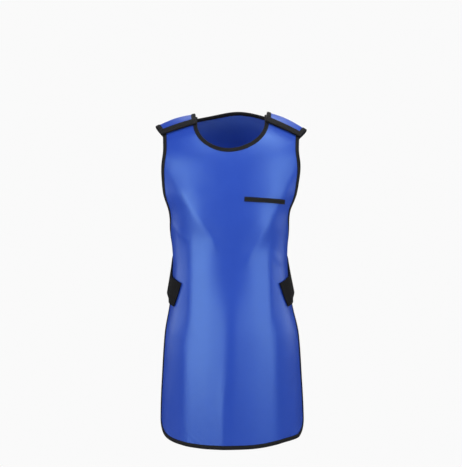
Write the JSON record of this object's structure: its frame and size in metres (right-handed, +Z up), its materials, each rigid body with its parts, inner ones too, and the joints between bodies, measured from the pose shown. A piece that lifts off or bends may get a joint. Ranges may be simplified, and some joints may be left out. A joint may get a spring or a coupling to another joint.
{
  "type": "lead x-ray apron",
  "caption": "Blue radiation-shielding apron in its worn form: long front panel, shoulder flaps, short back yoke, black edge tapes, waist belt and chest pocket band.",
  "frame": {"origin": "midway between the two shoulder tops, on the crest where the apron sits on the shoulders", "axes": "+Z up along the apron's length, the front faces -Y, +X is the wearer's left"},
  "size_m": [0.4169, 0.3003, 0.9069],
  "materials": {
    "blue_cover": "satin coated nylon cover, royal blue",
    "black_tape": "matte woven binding tape, black",
    "black_belt": "matte ribbed elastic webbing with hook-and-loop ends, black"
  },
  "bodies": {
    "root": {"front_panel": "blue_cover", "left_shoulder_flap": "blue_cover", "right_shoulder_flap": "blue_cover", "back_yoke": "blue_cover", "neck_binding": "black_tape", "left_armhole_binding": "black_tape", "right_armhole_binding": "black_tape", "hem_binding": "black_tape", "left_shoulder_band": "black_tape", "right_shoulder_band": "black_tape", "left_flap_neck_binding": "black_tape", "left_flap_arm_binding": "black_tape", "right_flap_neck_binding": "black_tape", "right_flap_arm_binding": "black_tape", "yoke_neck_binding": "black_tape", "yoke_edge_binding": "black_tape", "pocket_band": "black_tape", "waist_belt": "black_belt"}
  },
  "joints": []
}
